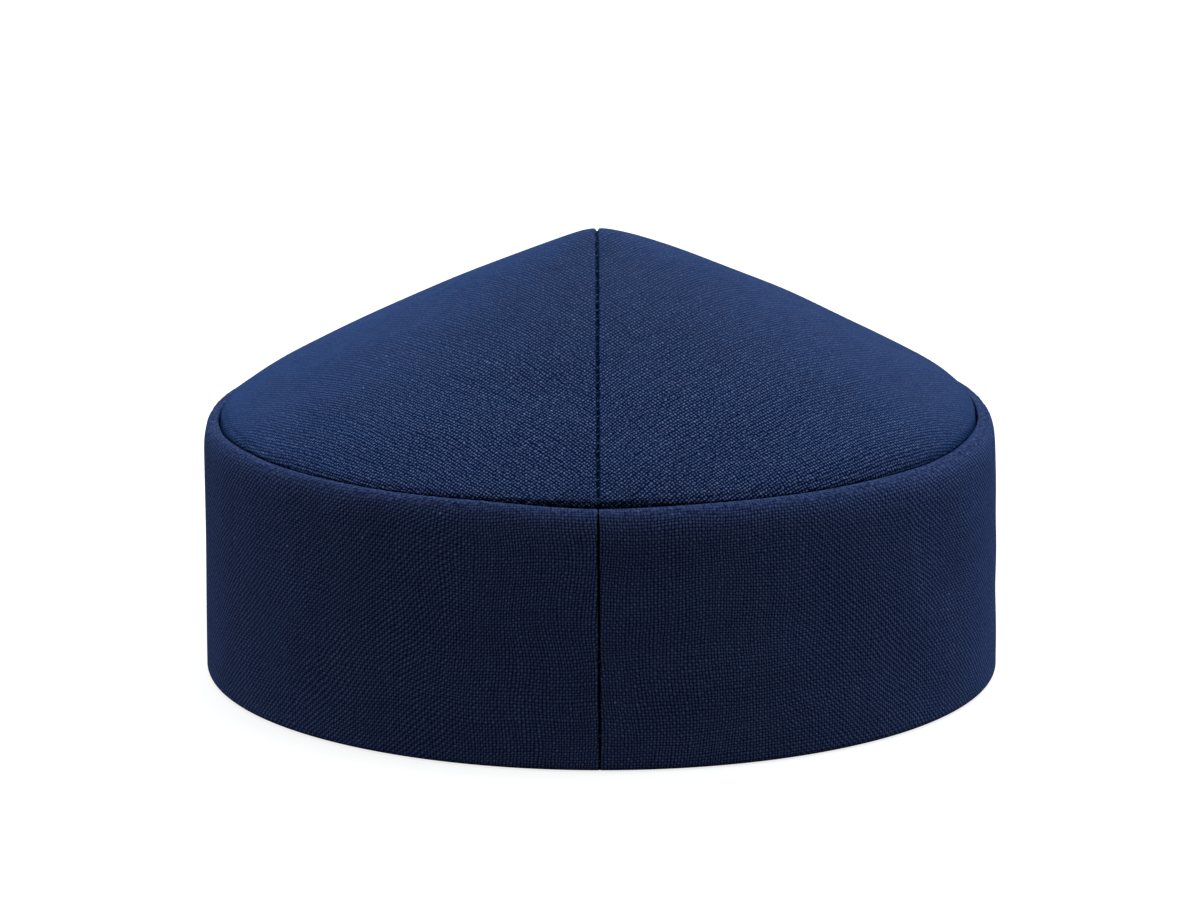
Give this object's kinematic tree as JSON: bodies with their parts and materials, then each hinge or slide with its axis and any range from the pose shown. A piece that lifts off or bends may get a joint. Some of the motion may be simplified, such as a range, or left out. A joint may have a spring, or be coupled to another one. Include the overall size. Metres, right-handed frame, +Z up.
{
  "type": "kufi",
  "caption": "Brimless round cap of plain woven cloth: an upright band with a rounded lip, and a pointed crown set inside it, seamed from front to back.",
  "frame": {"origin": "middle of the underside, on the surface that the rim rests on", "axes": "+Z up through the crown's point, -Y to the front seam, +X to the side of the half called right, as seen from the front"},
  "size_m": [0.1908, 0.1902, 0.1076],
  "materials": {
    "crown_cloth": "navy plain weave with coarse threads, matt with a soft sheen, cut on the bias",
    "band_cloth": "navy plain weave with coarse threads, matt with a soft sheen, folded double"
  },
  "bodies": {
    "root": {"crown_left": "crown_cloth", "crown_right": "crown_cloth", "band_left": "band_cloth", "band_right": "band_cloth"}
  },
  "joints": []
}
